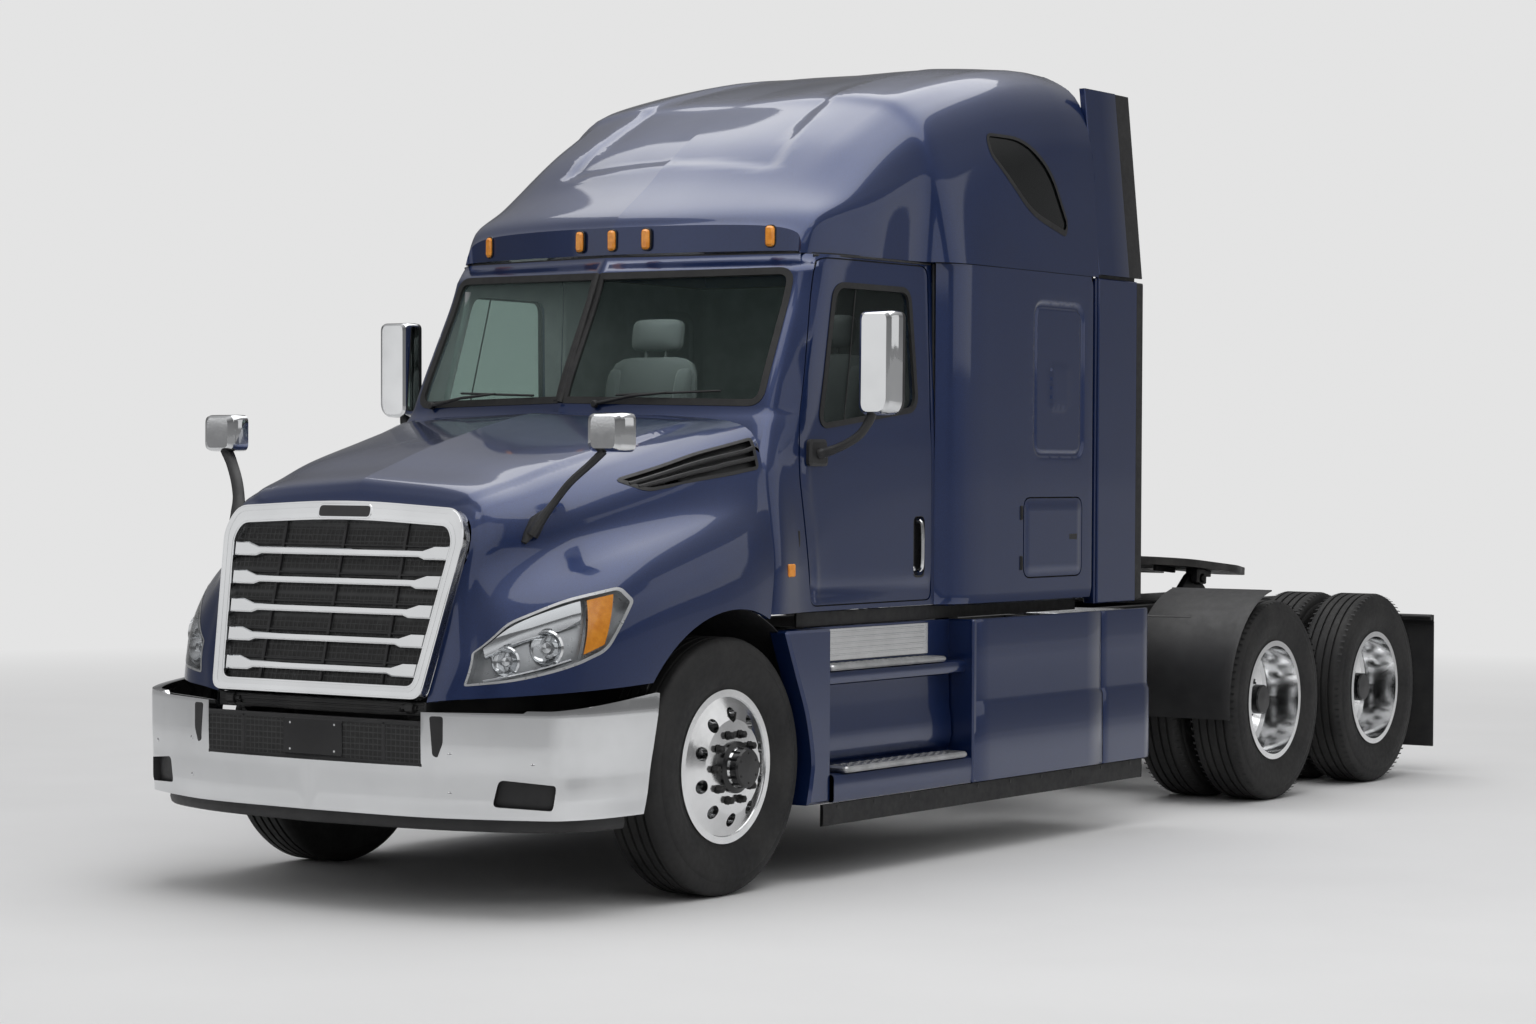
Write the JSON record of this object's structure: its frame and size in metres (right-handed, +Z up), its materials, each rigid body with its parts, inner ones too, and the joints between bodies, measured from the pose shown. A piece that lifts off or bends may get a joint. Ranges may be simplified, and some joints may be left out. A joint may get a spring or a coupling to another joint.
{
  "type": "semi truck tractor unit",
  "caption": "Conventional road tractor with sleeper cab, tilting hood, steered front wheels, twin-tyred tandem drive axles and a tilting fifth wheel.",
  "frame": {"origin": "on the ground, under the middle of the overall length and width", "axes": "+X towards the driver's (left) side, +Y to the rear, +Z up; the truck faces -Y"},
  "size_m": [2.934, 8.61, 3.815],
  "materials": {
    "blue_paint": "deep metallic gloss",
    "black_plastic": "satin",
    "black_steel": "satin black chassis paint",
    "chrome": "polished",
    "polished_aluminium": "polished",
    "plain_aluminium": "brushed tread plate",
    "cast_iron": "rough",
    "tyre": "matt",
    "rubber": "matt",
    "window_glass": "clear, slightly green",
    "lamp_glass": "clear",
    "dark_glass": "dark",
    "seat_fabric": "woven",
    "trim_plastic": "grained"
  },
  "bodies": {
    "chassis": {"frame": "black_steel", "front_axle": "cast_iron", "drive_axles": "cast_iron", "engine": "cast_iron", "driveline": "cast_iron", "radiator": "black_steel", "fuel_tanks": "polished_aluminium", "underbody_boxes": "black_steel", "bumper": "chrome", "bumper_insert": "black_plastic", "cab_shell": "blue_paint", "windshield": "window_glass", "dashboard": "trim_plastic", "seats": "seat_fabric", "bunk": "seat_fabric", "sleeper_shell": "blue_paint", "roof_cap": "blue_paint", "roof_windows": "dark_glass", "side_extenders": "blue_paint", "rubber_edges": "rubber", "side_fairings": "blue_paint", "steps": "plain_aluminium", "deck_plate": "plain_aluminium", "quarter_fenders": "black_plastic", "mud_flaps": "rubber", "fifth_wheel_base": "black_steel"},
    "hood": {"hood_shell": "blue_paint", "grille": "chrome", "headlights": "lamp_glass", "hood_mirrors": "black_plastic"},
    "left_door": {"door_left": "blue_paint", "door_glass_left": "window_glass", "door_mirror_left": "chrome"},
    "right_door": {"door_right": "blue_paint", "door_glass_right": "window_glass", "door_mirror_right": "chrome"},
    "left_luggage_door": {"luggage_door_left": "blue_paint"},
    "right_luggage_door": {"luggage_door_right": "blue_paint"},
    "left_knuckle": {"knuckle_left": "cast_iron"},
    "right_knuckle": {"knuckle_right": "cast_iron"},
    "steering_link": {"tie_rod": "cast_iron"},
    "front_wheel_left": {"front_tyre_left": "tyre", "front_rim_left": "polished_aluminium"},
    "front_wheel_right": {"front_tyre_right": "tyre", "front_rim_right": "polished_aluminium"},
    "drive_wheels_left_1": {"rear_tyres_left_1": "tyre", "rear_rims_left_1": "polished_aluminium"},
    "drive_wheels_right_1": {"rear_tyres_right_1": "tyre", "rear_rims_right_1": "polished_aluminium"},
    "drive_wheels_left_2": {"rear_tyres_left_2": "tyre", "rear_rims_left_2": "polished_aluminium"},
    "drive_wheels_right_2": {"rear_tyres_right_2": "tyre", "rear_rims_right_2": "polished_aluminium"},
    "steering": {"steering_wheel": "black_plastic"},
    "fifth_wheel": {"fifth_wheel_plate": "black_steel"}
  },
  "joints": [
    {"name": "hood_tilt", "type": "hinge", "parent": "chassis", "child": "hood", "pos_m": [0, -4.22, 0.83], "axis": [1, 0, 0], "range_deg": [0, 60]},
    {"name": "left_door_hinge", "type": "hinge", "parent": "chassis", "child": "left_door", "pos_m": [1.112, -2.387, 1.39], "axis": [0, 0, -1], "range_deg": [0, 65]},
    {"name": "right_door_hinge", "type": "hinge", "parent": "chassis", "child": "right_door", "pos_m": [-1.112, -2.387, 1.39], "axis": [0, 0, 1], "range_deg": [0, 65]},
    {"name": "left_luggage_hinge", "type": "hinge", "parent": "chassis", "child": "left_luggage_door", "pos_m": [1.199, -0.598, 1.47], "axis": [0, 0, -1], "range_deg": [0, 95]},
    {"name": "right_luggage_hinge", "type": "hinge", "parent": "chassis", "child": "right_luggage_door", "pos_m": [-1.199, -0.598, 1.47], "axis": [0, 0, 1], "range_deg": [0, 95]},
    {"name": "steer_left", "type": "hinge", "parent": "chassis", "child": "left_knuckle", "pos_m": [0.93, -2.985, 0.544], "axis": [0, 0, 1], "range_deg": [-38, 38]},
    {"name": "steer_right", "type": "hinge", "parent": "chassis", "child": "right_knuckle", "pos_m": [-0.93, -2.985, 0.544], "axis": [0, 0, 1], "range_deg": [-38, 38]},
    {"name": "tie_rod_pivot", "type": "hinge", "parent": "left_knuckle", "child": "steering_link", "pos_m": [0.93, -2.78, 0.395], "axis": [0, 0, 1], "range_deg": [-38, 38]},
    {"name": "steering_turn", "type": "hinge", "parent": "chassis", "child": "steering", "pos_m": [0.5, -1.925, 1.925], "axis": [0, 0.5736, 0.8192], "range_deg": [-620, 620]},
    {"name": "front_spin_left", "type": "hinge", "parent": "left_knuckle", "child": "front_wheel_left", "pos_m": [1.042, -2.985, 0.544], "axis": [1, 0, 0], "continuous": true},
    {"name": "front_spin_right", "type": "hinge", "parent": "right_knuckle", "child": "front_wheel_right", "pos_m": [-1.042, -2.985, 0.544], "axis": [1, 0, 0], "continuous": true},
    {"name": "drive_spin_left_1", "type": "hinge", "parent": "chassis", "child": "drive_wheels_left_1", "pos_m": [0.9185, 2.182, 0.544], "axis": [1, 0, 0], "continuous": true},
    {"name": "drive_spin_right_1", "type": "hinge", "parent": "chassis", "child": "drive_wheels_right_1", "pos_m": [-0.9185, 2.182, 0.544], "axis": [1, 0, 0], "continuous": true},
    {"name": "drive_spin_left_2", "type": "hinge", "parent": "chassis", "child": "drive_wheels_left_2", "pos_m": [0.9185, 3.508, 0.544], "axis": [1, 0, 0], "continuous": true},
    {"name": "drive_spin_right_2", "type": "hinge", "parent": "chassis", "child": "drive_wheels_right_2", "pos_m": [-0.9185, 3.508, 0.544], "axis": [1, 0, 0], "continuous": true},
    {"name": "fifth_wheel_tilt", "type": "hinge", "parent": "chassis", "child": "fifth_wheel", "pos_m": [0, 2.915, 1.17], "axis": [1, 0, 0], "range_deg": [0, 15]}
  ],
  "couplings": [
    {"joint": "steer_right", "follows": "steer_left", "ratio": 1},
    {"joint": "tie_rod_pivot", "follows": "steer_left", "ratio": -1},
    {"joint": "steering_turn", "follows": "steer_left", "ratio": 16}
  ]
}
